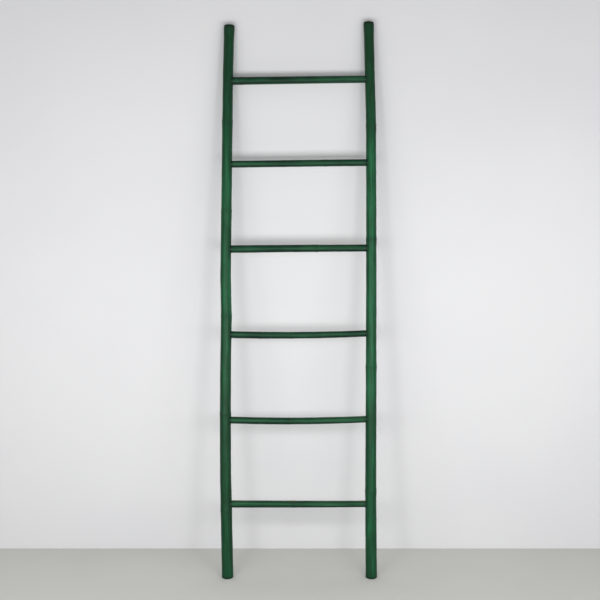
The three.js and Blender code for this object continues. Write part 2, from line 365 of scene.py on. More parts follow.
def smooth_step(value: np.ndarray, low: float, high: float) -> np.ndarray:
    """Rises from 0 at low to 1 at high as 3t squared minus 2t cubed."""
    t = np.clip((value - low) / (high - low), 0, 1)
    return t * t * (3 - 2 * t)


def turned_angle(angle: np.ndarray, zero: float) -> np.ndarray:
    """Angle measured from zero, between minus pi and pi."""
    return (angle - zero + math.pi) % (2 * math.pi) - math.pi


def closed_mesh(name: str, rows: np.ndarray, ends: np.ndarray) -> Mesh:
    """A closed surface from rows of points, each a ring, with a fan of triangles at either end.

    Args:
        name: the mesh's name.
        rows: the rings, as an array of ring by point by coordinate.
        ends: the two points that close the first and the last ring.

    Returns:
        The mesh, its faces pointing out.
    """
    count, around = rows.shape[:2]
    points = np.concatenate([rows.reshape(-1, 3), ends])
    ring = np.arange(count)[:, None] * around
    here, after = np.arange(around), np.roll(np.arange(around), -1)
    low, high = ring[:-1], ring[1:]
    quads = np.stack([low + here, low + after, high + after, high + here], axis=-1).reshape(-1, 4)
    first = np.stack([after, here, np.full(around, count * around)], axis=-1)
    last = np.stack([ring[-1] + here, ring[-1] + after, np.full(around, count * around + 1)], axis=-1)
    fans = np.concatenate([first, last])

    corners = np.concatenate([quads[:, [0, 1, 2]], quads[:, [0, 2, 3]], fans])
    a, b, c = points[corners].transpose(1, 0, 2)
    if np.einsum("ij,ij->", a, np.cross(b, c)) < 0:
        quads, fans = quads[:, ::-1], fans[:, ::-1]
    mesh = bpy.data.meshes.new(name)
    mesh.from_pydata(points, [], quads.tolist() + fans.tolist(), shade_flat=False)
    mesh.update()
    return mesh


def points_of(mesh: Mesh) -> np.ndarray:
    """The mesh's points, one row each."""
    found = np.empty(len(mesh.vertices) * 3)
    mesh.vertices.foreach_get("co", found)
    return found.reshape(-1, 3)


def store(mesh: Mesh, name: str, values: np.ndarray) -> None:
    """Stores a number or a vector on each point of the mesh.

    Args:
        mesh: the mesh.
        name: the attribute that the finishes read.
        values: one number, or one row of three, for each point.
    """
    kind, key = ("FLOAT", "value") if values.ndim == 1 else ("FLOAT_VECTOR", "vector")
    mesh.attributes.new(name, kind, "POINT").data.foreach_set(key, values.astype(np.float32).ravel())


def bore(blank: Object, drills: Sequence[Mesh]) -> None:
    """Cuts the drills out of the blank, and leaves no modifier on it.

    Args:
        blank: the piece, whose mesh is replaced by the bored one.
        drills: closed surfaces that don't touch one another.
    """
    tool = bpy.data.objects.new("drill", join_meshes("drill", drills))
    bpy.context.scene.collection.objects.link(tool)
    cut = blank.modifiers.new("sockets", "BOOLEAN")
    cut.operation, cut.solver, cut.object = "DIFFERENCE", "MANIFOLD", tool
    bored = bpy.data.meshes.new_from_object(blank.evaluated_get(bpy.context.evaluated_depsgraph_get()))
    bored.materials.clear()
    blank.modifiers.clear()
    blank.data = bored
    bpy.data.objects.remove(tool)


def join_meshes(name: str, meshes: Sequence[Mesh]) -> Mesh:
    """One mesh that holds all of these.

    Args:
        name: its name.
        meshes: the meshes to join.

    Returns:
        The joined mesh.
    """
    points, faces, first = [], [], 0
    for mesh in meshes:
        points.append(points_of(mesh))
        faces += [[first + k for k in polygon.vertices] for polygon in mesh.polygons]
        first += len(mesh.vertices)
    joined = bpy.data.meshes.new(name)
    joined.from_pydata(np.concatenate(points), [], faces)
    joined.update()
    return joined


def add_piece(name: str, mesh: Mesh, node: str, slot: str) -> Object:
    """Shows a mesh in place of a node of the frame.

    Args:
        name: the piece's name.
        mesh: its mesh, in the row's frame.
        node: the node that it stands for.
        slot: not used.

    Returns:
        The object, riding on the body.
    """
    piece = bpy.data.objects.new(name, mesh)
    bpy.context.scene.collection.objects.link(piece)
    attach(piece, BODY)
    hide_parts(node)
    return piece


# ---- Reading the frame ---------------------------------------------------------------------------


class Run(Enum):
    """Which way a round piece runs in the ladder's plane. The value is that direction's number."""

    ACROSS = 0
    DEPTH = 1
    UP = 2

    @property
    def others(self) -> list[int]:
        """The two directions that the piece's thickness lies in."""
        return [k for k in range(3) if k != self.value]


@dataclass(frozen=True)
class LadderPlane:
    """The ladder's own directions, and how they lean in the row's frame."""

    foot_depth: float  # where the poles' centres meet the floor, along the row's Y
    lean: float = LEAN

    @property
    def axes(self) -> np.ndarray:
        """Rows: the directions across, depth and up, as unit vectors of the row's frame."""
        c, s = math.cos(self.lean), math.sin(self.lean)
        return np.array([[1, 0, 0], [0, c, -s], [0, s, c]])

    def from_row(self, points: np.ndarray) -> np.ndarray:
        """Points of the row's frame, in the ladder's directions."""
        return (points - [0, self.foot_depth, 0]) @ self.axes.T

    def to_row(self, points: np.ndarray) -> np.ndarray:
        """Points in the ladder's directions, in the row's frame."""
        return points @ self.axes + [0, self.foot_depth, 0]


@dataclass(frozen=True)
class CentreLine:
    """Where a culm's centre lies and how thick it is, place by place along it."""

    run: Run
    along: np.ndarray
    offset: np.ndarray  # of the centre, in the two other directions
    radius: np.ndarray  # without its nodes' swelling
    nodes: np.ndarray
    span: tuple[float, float]  # where the culm begins and ends

    def centre(self, at: np.ndarray) -> np.ndarray:
        """The centre's offsets at these places, one row each."""
        return np.stack([np.interp(at, self.along, self.offset[:, k]) for k in (0, 1)], axis=-1)

    def thickness(self, at: np.ndarray) -> np.ndarray:
        """The plain culm's radius at these places."""
        return np.interp(at, self.along, self.radius)

    def place(self, at: np.ndarray, angle: np.ndarray, radius: np.ndarray) -> np.ndarray:
        """Points of the surface: the centre, plus radius times the cosine and the sine of the angle.

        Args:
            at: places along the culm.
            angle: angles round it, from the first of the two other directions towards the second.
            radius: distances from the centre. All three are arrays of one shape.

        Returns:
            The points in the ladder's directions, with a last axis of three.
        """
        points = np.empty((*at.shape, 3))
        centre = self.centre(at)
        points[..., self.run.value] = at
        for k, turn in enumerate((np.cos(angle), np.sin(angle))):
            points[..., self.run.others[k]] = centre[..., k] + radius * turn
        return points

    def read(self, points: np.ndarray) -> tuple[np.ndarray, np.ndarray, np.ndarray]:
        """The reverse of place: each point's place along, its angle and its distance from the centre."""
        at = points[:, self.run.value]
        away = points[:, self.run.others] - self.centre(at)
        return at, np.arctan2(away[:, 1], away[:, 0]), np.hypot(away[:, 0], away[:, 1])


@dataclass(frozen=True)
class FrameReader:
    """Reads a culm's centre line and thickness from its node's own mesh."""

    plane: LadderPlane
    step: float = 2 * MM
    window: float = 24 * MM  # more than half a node's swelling, and less than half an internode
    proud: float = 0.3 * MM  # a swelling stands at least this far out of the culm
    clear_of: float = 22 * MM  # a culm's centre isn't read this close to a bore in its side

    def edges(self, node: Object) -> np.ndarray:
        """Both ends of each edge of a node, in the ladder's directions."""
        pairs = np.empty(len(node.data.edges) * 2, int)
        node.data.edges.foreach_get("vertices", pairs)
        return self.plane.from_row(points_of(node.data))[pairs.reshape(-1, 2)]

    def outline(self, edges: np.ndarray, run: Run, level: float) -> np.ndarray:
        """The box round the cut at one level: its low and high corner in the two other directions."""
        start, stop = edges[:, 0], edges[:, 1]
        crossed = (start[:, run.value] < level) != (stop[:, run.value] < level)
        start, stop = start[crossed], stop[crossed]
        share = (level - start[:, run.value]) / (stop[:, run.value] - start[:, run.value])
        cut = start + share[:, None] * (stop - start)
        return np.array([cut[:, run.others].min(axis=0), cut[:, run.others].max(axis=0)])

    def centre_line(self, name: str, run: Run, bores: Sequence[float] = ()) -> CentreLine:
        """Reads one culm.

        Args:
            name: its node.
            run: which way it runs.
            bores: places where something is bored into its side.

        Returns:
            Its centre line, eased over a few centimetres as a culm bends, and its nodes' places.
        """
        edges = self.edges(bpy.data.objects[name])
        span = float(edges[..., run.value].min()), float(edges[..., run.value].max())
        if run is Run.UP:
            span = 0.0, span[1]
        levels = np.arange(span[0] + 4 * self.step, span[1] - self.step, self.step)
        clear = np.all([np.abs(levels - place) > self.clear_of for place in (*bores, FAR)], axis=0)
        boxes = np.array([self.outline(edges, run, level) for level in levels])
        middles = boxes[clear].mean(axis=1)
        offset = np.stack([np.interp(levels, levels[clear], middles[:, k]) for k in (0, 1)], axis=-1)
        half = (boxes[:, 1, 1] - boxes[:, 0, 1]) / 2  # across the holes, which leave this way of it whole
        plain = self.without_swellings(half)
        return CentreLine(run, levels, self.eased(offset), plain, self.runs_of(levels, half - plain), span)

    def without_swellings(self, radius: np.ndarray) -> np.ndarray:
        """The radius less every bulge narrower than the window: the least nearby, then the most of those."""
        reach = round(self.window / self.step)
        for pick in (np.min, np.max):
            nearby = sliding_window_view(np.pad(radius, reach, mode="edge"), 2 * reach + 1)
            radius = pick(nearby, axis=1)
        return radius

    def eased(self, values: np.ndarray, spread: float = 16 * MM) -> np.ndarray:
        """Each column averaged under a bell, with its ends carried on in a straight line."""
        reach = round(3 * spread / self.step)
        weights = bell(np.arange(-reach, reach + 1) * self.step, spread)
        longer = np.pad(values, ((reach, reach), (0, 0)), mode="reflect", reflect_type="odd")
        columns = [np.convolve(longer[:, k], weights / weights.sum(), mode="valid") for k in (0, 1)]
        return np.stack(columns, axis=-1)

    def runs_of(self, levels: np.ndarray, bulge: np.ndarray) -> np.ndarray:
        """The middle of each stretch that stands proud."""
        proud = bulge > self.proud
        edges = np.flatnonzero(np.diff(np.concatenate([[False], proud, [False]])))
        return np.array([(levels[a] + levels[b - 1]) / 2 for a, b in edges.reshape(-1, 2)])


# ---- Culms ---------------------------------------------------------------------------------------


@dataclass(frozen=True)
class Relief:
    """The relief of a bamboo skin, in metres."""

    swell: float  # long swelling of the culm round each node
    swell_width: float
    ridge: float  # rounded ring above each sheath scar
    ridge_width: float
    lip: float  # thin ring that the sheath leaves
    lip_width: float
    bud: float  # bud above the scar, on alternate sides
    bud_size: float
    channel: float  # depth of the groove that runs up from each bud
    channel_length: float
    oval: float  # how far the section is from round
    wander: float  # slow rise and fall of the skin

    def height(self, distance: np.ndarray, arc: np.ndarray) -> np.ndarray:
        """Height near one node: bells for swelling, ridge, lip and bud, less the creases between.

        Args:
            distance: from the sheath scar, along the culm.
            arc: from the bud's middle, round the culm.

        Returns:
            The height to add to the radius.
        """
        swell = self.swell * bell(distance + 0.2 * self.swell_width, self.swell_width)
        slant = distance - 0.5 * self.lip_width * np.cos(arc / (3 * self.bud_size))
        ridge = self.ridge * bell(distance - 1.3 * self.ridge_width, self.ridge_width)
        lip = self.lip * bell(slant, self.lip_width)
        crease = 0.45 * self.lip * bell(slant - 2.1 * self.lip_width, self.lip_width)
        waist = 0.3 * self.ridge * bell(distance + 1.2 * self.ridge_width, self.ridge_width)
        bud = self.bud * bell(arc, 0.55 * self.bud_size)
        bud = bud * bell(distance - self.bud_size, 0.75 * self.bud_size)
        above = np.clip((distance - 1.5 * self.bud_size) / self.channel_length, 0, 1)
        fading = smooth_step(distance, self.bud_size, 3 * self.bud_size) * (1 - above) ** 1.5
        channel = self.channel * bell(arc, 0.8 * self.bud_size) * fading
        return swell + ridge + lip - crease - waist + bud - channel


@dataclass(frozen=True)
class CulmLook:
    """How the stain took and wore on one culm, and the painted light and shade drawn on it."""

    stain_and_light_tones: tuple[tuple[float, float], ...]  # a share of the way along, and how light it is drawn there: the stain's own take, partly painted light
    scars: tuple[float, ...] = (0.3,)  # how dark the stain lies in the scar of each node, by turns
    flank_shade: tuple[float, float] = (0.25, 0.25)  # painted shade: how much darker the left or lower side, and the right or upper side, are drawn
    worn: float = 0.0  # how much stain is rubbed off the top


@dataclass
class Culm:
    """One bamboo culm as a hollow closed surface."""

    line: CentreLine
    look: CulmLook
    relief: Relief
    wall: float
    seed: int
    around: int  # points round the skin
    coarse: float  # spacing of its rings between nodes
    fine: float  # and on a node
    diaphragm: float = 5 * MM

    def bud_angle(self, index: int) -> float:
        """The side that a node's bud is on: opposite sides by turns, from a side of the culm's own."""
        return 2.4 * self.seed + math.pi * (index % 2)

    def angles(self) -> np.ndarray:
        """The angles of the points round the skin."""
        return np.arange(self.around) * 2 * math.pi / self.around

    def skin(self, at: np.ndarray, angle: np.ndarray) -> np.ndarray:
        """The skin's radius: the plain culm, slightly oval and wavy, plus the relief of each node.

        Args:
            at: places along the culm.
            angle: angles round it, in the same shape.

        Returns:
            The radius at each.
        """
        radius = self.line.thickness(at)
        chance = np.random.default_rng(self.seed)
        oval = self.relief.oval * np.cos(2 * turned_angle(angle, chance.uniform(0, math.pi)))
        waves = np.zeros_like(at)
        for length, turns in ((0.31, 1), (0.17, 2), (0.083, 3), (0.045, 2)):
            shift, phase = chance.uniform(0, 2 * math.pi, 2)
            waves += np.sin(2 * math.pi * at / length + shift) * np.cos(turns * angle + phase)
        radius = radius + oval + self.relief.wander * waves / 2
        for index, node in enumerate(self.line.nodes):
            arc = turned_angle(angle, self.bud_angle(index)) * self.line.thickness(at)
            radius = radius + self.relief.height(at - node, arc)
        return radius

    def stations(self, start: float, stop: float) -> np.ndarray:
        """Places for rings, close together on a node and wide apart between nodes.

        The spacing goes from fine to coarse as a smooth step of the distance to the nearest node, and the
        places are evenly spread in the running sum of one over the spacing.
        """
        dense = np.linspace(start, stop, 4000)
        nearest = np.abs(dense[:, None] - np.array([*self.line.nodes, FAR])).min(axis=1)
        spacing = self.fine + (self.coarse - self.fine) * smooth_step(nearest, 7 * MM, 30 * MM)
        passed = np.concatenate([[0], np.cumsum(np.diff(dense) / spacing[1:])])
        return np.interp(np.linspace(0, passed[-1], math.ceil(passed[-1]) + 1), passed, dense)

    def rings(self, at: np.ndarray, radius: np.ndarray | float) -> np.ndarray:
        """Rings of points in the ladder's directions, from one radius for each ring or for each point."""
        places = np.repeat(np.asarray(at)[:, None], self.around, axis=1)
        angles = np.broadcast_to(self.angles(), places.shape)
        sizes = np.asarray(radius, float)
        sizes = sizes[:, None] if sizes.ndim == 1 else sizes
        return self.line.place(places, angles, np.broadcast_to(sizes, places.shape))

    def skin_rings(self, at: np.ndarray, ease: np.ndarray | float = 0.0) -> np.ndarray:
        """Rings on the skin, less what an eased end takes off it."""
        places = np.repeat(at[:, None], self.around, axis=1)
        sizes = self.skin(places, np.broadcast_to(self.angles(), places.shape))
        return self.rings(at, sizes - np.broadcast_to(np.asarray(ease, float), at.shape)[:, None])

    def hollow(self, at: np.ndarray | float) -> np.ndarray:
        """The bore's radius at these places."""
        return self.line.thickness(np.asarray(at, float)) - self.wall

    def on_axis(self, *at: float) -> np.ndarray:
        """Points on the centre line at these places, in the ladder's directions."""
        places = np.array(at)
        return self.line.place(places, np.zeros_like(places), np.zeros_like(places))

    def dress(self, mesh: Mesh, plane: LadderPlane) -> tuple[np.ndarray, ...]:
        """Smooths the mesh, stores its grain and gives cut faces the second material slot.

        The grain is the culm made straight: radius times cosine and sine of the angle, and the place along.

        Args:
            mesh: the finished mesh, in the row's frame, with room for two materials.
            plane: the ladder's plane.

        Returns:
            The points in the ladder's directions, and their places along the culm and angles round it.
        """
        points = plane.from_row(points_of(mesh))
        at, angle, distance = self.line.read(points)
        start = 0.73 * self.seed
        grain = np.stack([distance * np.cos(angle) + start, distance * np.sin(angle), at + start], axis=-1)
        store(mesh, "grain", grain)

        middles, normals = np.empty(len(mesh.polygons) * 3), np.empty(len(mesh.polygons) * 3)
        mesh.polygons.foreach_get("center", middles)
        mesh.polygons.foreach_get("normal", normals)
        middles = plane.from_row(middles.reshape(-1, 3))
        normals = normals.reshape(-1, 3) @ plane.axes.T
        _, turn, away = self.line.read(middles)
        sides = normals[:, self.line.run.others]
        outwards = sides[:, 0] * np.cos(turn) + sides[:, 1] * np.sin(turn)
        cut = (outwards < 0.4) | (away < self.line.thickness(middles[:, self.line.run.value]) - 1.2 * MM)
        mesh.polygons.foreach_set("material_index", cut.astype(np.int32))
        mesh.polygons.foreach_set("use_smooth", np.ones(len(cut), bool))
        mesh.set_sharp_from_angle(angle=SMOOTH_BELOW)
        return points, at, angle

    def node_pool(self, at: np.ndarray) -> np.ndarray:
        """Stain gathered at the nodes: a thin dark line by each scar and a soft band round it."""
        pool = np.zeros_like(at)
        for index, node in enumerate(self.line.nodes):
            scar = self.look.scars[index % len(self.look.scars)]
            line = scar * bell(at - node - 1.2 * self.relief.lip_width, 1.8 * self.relief.lip_width)
            band = 0.5 * scar * bell(at - node, 10 * MM)
            pool = np.maximum(pool, np.maximum(line, band))
        return pool

    def tone(self, at: np.ndarray, angle: np.ndarray) -> np.ndarray:
        """How light the stain is drawn: straight runs between the tones along the culm, which hold some
        painted light, less the painted shade on its flanks.

        Args:
            at: places along the culm.
            angle: angles round it.

        Returns:
            The tone at each place, from 0 where much stain went in or the painted shade is deepest, to 1.
        """
        low, high = self.line.span
        shares, values = np.array(self.look.stain_and_light_tones).T
        # Painted shade: the flanks are drawn darker, the left and right sides of a pole, the lower and upper
        # sides of a rung.
        side = np.cos(angle) if self.line.run is Run.UP else np.sin(angle)
        first, second = (d * smooth_step(t, 0.3, 0.85) for d, t in zip(self.look.flank_shade, (-side, side)))
        return np.interp((at - low) / (high - low), shares, values) - first - second


POLE_RELIEF = Relief(
    swell=0.6 * MM,
    swell_width=16 * MM,
    ridge=0.4 * MM,
    ridge_width=4.2 * MM,
    lip=0.4 * MM,
    lip_width=0.8 * MM,
    bud=0.9 * MM,
    bud_size=7 * MM,
    channel=0.55 * MM,
    channel_length=130 * MM,
    oval=0.16 * MM,
    wander=0.2 * MM,
)
RUNG_RELIEF = Relief(
    swell=0.25 * MM,
    swell_width=8 * MM,
    ridge=0.45 * MM,
    ridge_width=3 * MM,
    lip=0.45 * MM,
    lip_width=0.6 * MM,
    bud=0.6 * MM,
    bud_size=4.5 * MM,
    channel=0.45 * MM,
    channel_length=90 * MM,
    oval=0.12 * MM,
    wander=0.16 * MM,
)


@dataclass
class Rung:
    """One rung: a thin culm whose ends sit in the two poles."""

    number: int
    plane: LadderPlane
    line: CentreLine
    look: CulmLook
    culm: Culm = field(init=False)

    def __post_init__(self) -> None:
        """Makes the culm that the rung is cut from."""
        spacing = {"around": 56, "coarse": 5 * MM, "fine": 0.6 * MM}
        self.culm = Culm(self.line, self.look, RUNG_RELIEF, wall=3.8 * MM, seed=11 + self.number, **spacing)

    @property
    def name(self) -> str:
        """The name that the rung's nodes start with."""
        return f"rung_{self.number}"

    def surface(self) -> Mesh:
        """The closed skin, its two end faces and the bore up to the node's diaphragm, in the row's frame."""
        culm, (left, right) = self.culm, self.line.span
        node = self.line.nodes[0] if len(self.line.nodes) else (left + right) / 2
        faces = node - culm.diaphragm / 2, node + culm.diaphragm / 2
        leftward = np.linspace(faces[0], left, 12)
        rightward = np.linspace(right, faces[1], 12)
        rows = [
            culm.rings(leftward[:1], culm.hollow(leftward[:1]) * 0.6),
            culm.rings(leftward, culm.hollow(leftward)),
            culm.skin_rings(culm.stations(left, right)),
            culm.rings(rightward, culm.hollow(rightward)),
            culm.rings(rightward[-1:], culm.hollow(rightward[-1:]) * 0.6),
        ]
        rows = self.plane.to_row(np.concatenate(rows))
        return closed_mesh(self.name + "_skin", rows, self.plane.to_row(culm.on_axis(*faces)))

    def drill(self, side: int) -> Mesh:
        """The drill for this rung's socket: a round rod, wider and deeper than the rung by the glue's gap.

        Args:
            side: -1 for the left pole, 1 for the right.

        Returns:
            The drill, in the row's frame.
        """
        end = self.line.span[0 if side < 0 else 1]
        at = end + side * GLUE_GAP - side * np.linspace(0, SOCKET_DRILL, 6)
        rows = self.culm.rings(at, self.line.thickness(at) + GLUE_GAP)
        ends = self.culm.on_axis(at[0], at[-1])
        return closed_mesh("socket_drill", self.plane.to_row(rows), self.plane.to_row(ends))

    def build(self, pole_faces: tuple[float, float], pin_drills: Sequence[Mesh]) -> Object:
        """Makes the rung, bored for its two pins.

        Args:
            pole_faces: where the inner faces of the two poles lie, across.
            pin_drills: the drills for its pins.

        Returns:
            The piece.
        """
        piece = add_piece(self.name + "_culm", self.surface(), self.name, "stained_rung")
        bore(piece, pin_drills)
        _, at, angle = self.culm.dress(piece.data, self.plane)
        out = np.clip(np.minimum(at - pole_faces[0], pole_faces[1] - at), 0, None)
        # Stain in the joint's gap, with a wider faint tail of painted shade where the rung goes into the
        # pole.
        joint_stain_and_shade = 0.8 * np.exp(-out / (1.6 * MM)) + 0.1 * np.exp(-out / (14 * MM))
        store(piece.data, "pool", np.maximum(self.culm.node_pool(at), joint_stain_and_shade))
        store(piece.data, "tone", self.culm.tone(at, angle))
        top = bell(turned_angle(angle, math.pi / 2 + 0.25), 0.75)
        crest = sum(0.45 * bell(at - node - 4 * MM, 3 * MM) for node in self.line.nodes)
        near = 0.35 * self.look.worn * bell(pole_faces[1] - at - 7 * MM, 8 * MM)
        store(piece.data, "wear", (self.look.worn + crest + near) * top)
        return piece


@dataclass
class Pole:
    """One of the two poles that stand on the floor."""

    side: int  # -1 left, 1 right
    plane: LadderPlane
    line: CentreLine
    look: CulmLook
    foot_ease: float = 4 * MM
    top_ease: float = 3 * MM
    inner_ease: float = 1 * MM
    treatment_hole: float = 10 * MM
    bore_ring: float = 90 * MM  # how far below a diaphragm the bore has its next ring
    foot_ring: float = 40 * MM  # and where it has its last one before the foot
    culm: Culm = field(init=False)

    def __post_init__(self) -> None:
        """Makes the culm that the pole is cut from."""
        spacing = {"around": 80, "coarse": 8 * MM, "fine": 0.7 * MM}
        self.culm = Culm(self.line, self.look, POLE_RELIEF, wall=6 * MM, seed=4 + self.side, **spacing)

    @property
    def name(self) -> str:
        """Which pole it is, as its nodes are named."""
        return SIDES[self.side]

    def eased_end(self, ease: float, steps: int = 7) -> tuple[np.ndarray, np.ndarray]:
        """A quarter circle from the end face to the skin.

        Returns:
            How far each ring is from the end, and how much is taken off its radius there.
        """
        turn = np.linspace(0, math.pi / 2, steps)
        return ease * (1 - np.cos(turn)), ease * (1 - np.sin(turn))

    def inside(self, top: float) -> np.ndarray:
        """Rings down the bore from the highest diaphragm, past the pierced ones, to the foot."""
        culm, half = self.culm, self.culm.diaphragm / 2
        places, sizes = [top, top], [0.5 * float(culm.hollow(top)), float(culm.hollow(top))]
        for node in self.line.nodes[-2::-1]:
            for level, radius in ((half, None), (half, 1), (-half, 1), (-half, None)):
                places.append(node + level)
                sizes.append(self.treatment_hole / 2 if radius else float(culm.hollow(node + level)))
            places.append(node - self.bore_ring)
            sizes.append(float(culm.hollow(node - self.bore_ring)))
        foot = float(culm.hollow(0.0))
        places += [self.foot_ring, self.inner_ease, 0.0]
        sizes += [float(culm.hollow(self.foot_ring)), foot, foot + self.inner_ease]
        return culm.rings(np.array(places), np.array(sizes))

    def cup(self, top: float, cover: float) -> np.ndarray:
        """Rings from the cut end down to the diaphragm that closes it, which is a little dished.

        Args:
            top: where the pole is cut.
            cover: the diaphragm's upper face.
        """
        hollow = float(self.culm.hollow(top))
        share = np.array([0.93, 0.8, 0.6, 0.4, 0.2])
        places = [top, top - self.inner_ease, cover + 1.5 * MM, *(cover - 1.2 * MM * (1 - share**2))]
        sizes = [hollow + self.inner_ease, hollow, hollow, *(hollow * share)]
        return self.culm.rings(np.array(places), np.array(sizes))

    def on_floor(self, points: np.ndarray, reach: float = 70 * MM) -> np.ndarray:
        """Slides points up or down the pole, so that its foot is cut along the floor and not square.

        A point moves by its depth times the tangent of the lean, fading to nothing over the reach.
        """
        moved = points.copy()
        fade = 1 - smooth_step(points[..., 2], 0.0, reach)
        moved[..., 2] += points[..., 1] * math.tan(self.plane.lean) * fade
        return moved

    def surface(self) -> Mesh:
        """The closed surface: down the bore, round the foot, up the skin, over the end and into its cup."""
        culm, top = self.culm, self.line.span[1]
        cover = float(self.line.nodes[-1]) + culm.diaphragm / 2
        foot, foot_off = self.eased_end(self.foot_ease)
        end, end_off = self.eased_end(self.top_ease)
        rows = [
            self.inside(cover - culm.diaphragm),
            culm.skin_rings(foot, foot_off),
            culm.skin_rings(culm.stations(self.foot_ease, top - self.top_ease)[1:-1]),
            culm.skin_rings((top - end)[::-1], end_off[::-1]),
            self.cup(top, cover),
        ]
        rows = self.plane.to_row(self.on_floor(np.concatenate(rows)))
        ends = culm.on_axis(cover - culm.diaphragm, cover - 1.2 * MM)
        return closed_mesh(self.name + "_pole_skin", rows, self.plane.to_row(ends))

    def build(self, rungs: Sequence[Rung], pin_drills: Sequence[Mesh]) -> Object:
        """Makes the pole, bored for its rungs and their pins.

        Args:
            rungs: the rungs that it carries.
            pin_drills: the drills for their pins.

        Returns:
            The piece.
        """
        piece = add_piece(self.name + "_pole", self.surface(), self.name + "_stile", "stained_pole")
        bore(piece, [rung.drill(self.side) for rung in rungs])
        bore(piece, pin_drills)
        points, at, angle = self.culm.dress(piece.data, self.plane)
        joint_stain_and_shade, wear = np.zeros_like(at), np.zeros_like(at)
        for rung in rungs:
            centre = rung.line.centre(points[:, 0])
            away = np.hypot(points[:, 1] - centre[:, 0], points[:, 2] - centre[:, 1])
            out = np.abs(away - rung.line.thickness(points[:, 0]))
            inner = smooth_step(-self.side * np.cos(angle), 0.1, 0.5)
            # Stain in each socket's gap, with a wider faint tail of painted shade round it on the pole's
            # inner side.
            joint_stain_and_shade = np.maximum(joint_stain_and_shade, inner * (0.85 * bell(out, 1.3 * MM) + 0.15 * np.exp(-out / (9 * MM))))
            above = bell(points[:, 2] - centre[:, 1] - 14 * MM, 7 * MM) * inner
            wear = np.maximum(wear, (0.75 if self.side > 0 else 0.25) * rung.look.worn * above)
        # The top 10 mm of the pole and its last few millimetres at the foot are drawn in the pooled colour.
        cap = 0.85 * smooth_step(at - self.line.span[1], -12.5 * MM, -8.5 * MM)
        ends = np.maximum(cap, 0.75 * bell(points[:, 2], 5 * MM))
        store(piece.data, "pool", np.maximum(np.maximum(self.culm.node_pool(at), joint_stain_and_shade), ends))
        store(piece.data, "tone", self.culm.tone(at, angle))
        crest = sum(bell(at - node - 5.5 * MM, 2.5 * MM) for node in self.line.nodes)
        store(piece.data, "wear", np.maximum(wear, 0.34 * crest))
        return piece


# ---- Pins, plugs and cores -----------------------------------------------------------------------


@dataclass
class RoundStick:
    """A short straight round piece, such as a pin or a plug, with softened ends."""

    name: str
    node: str
    slot: str
    plane: LadderPlane
    run: Run
    diameter: float
    ease: float
    around: int = 40
    rings: int = 6

    def surface(self, grow: float = 0.0, past: float = 0.0) -> Mesh:
        """A rod with quarter-round rims, where the node lies: radius against place, carried round its axis.

        Args:
            grow: how much wider and deeper than the piece, for its drill.
            past: how much further the drill runs at the high end.

        Returns:
            The closed surface, in the row's frame.
        """
        corners = self.plane.from_row(points_of(bpy.data.objects[self.node].data))
        low, high = corners.min(axis=0), corners.max(axis=0)
        middle = (low + high) / 2
        along, (first, second) = self.run.value, self.run.others
        start, stop = low[along] - grow, high[along] + grow + past
        turn = np.linspace(0, math.pi / 2, self.rings)
        radius = self.diameter / 2 + grow
        rim, size = self.ease * (1 - np.cos(turn)), radius - self.ease * (1 - np.sin(turn))
        at, size = np.concatenate([start + rim, (stop - rim)[::-1]]), np.concatenate([size, size[::-1]])
        angle = np.arange(self.around) * 2 * math.pi / self.around
        rows = np.empty((len(at), self.around, 3))
        rows[..., along] = at[:, None]
        rows[..., first] = middle[first] + size[:, None] * np.cos(angle)
        rows[..., second] = middle[second] + size[:, None] * np.sin(angle)
        ends = np.tile(middle, (2, 1))
        ends[:, along] = start, stop
        return closed_mesh(self.name, self.plane.to_row(rows), self.plane.to_row(ends))

    def drill(self) -> Mesh:
        """The drill for its hole, which runs on out of the back."""
        return self.surface(GLUE_GAP, PIN_DRILL_PAST)

    def build(self) -> Object:
        """Shows the piece, with a grain along it."""
        piece = add_piece(self.name, self.surface(), self.node, self.slot)
        points = self.plane.from_row(points_of(piece.data))
        store(piece.data, "grain", points[:, [*self.run.others, self.run.value]])
        store(piece.data, "pool", np.full(len(points), 0.5))
        piece.data.set_sharp_from_angle(angle=SMOOTH_BELOW)
        return piece


# ---- Studio --------------------------------------------------------------------------------------


@dataclass(frozen=True)
class Softbox:
    """One flat soft light that faces the ladder."""

    name: str
    across: float
    up: float
    away: float  # from the ladder's plane
    width: float
    height: float
    watts: float


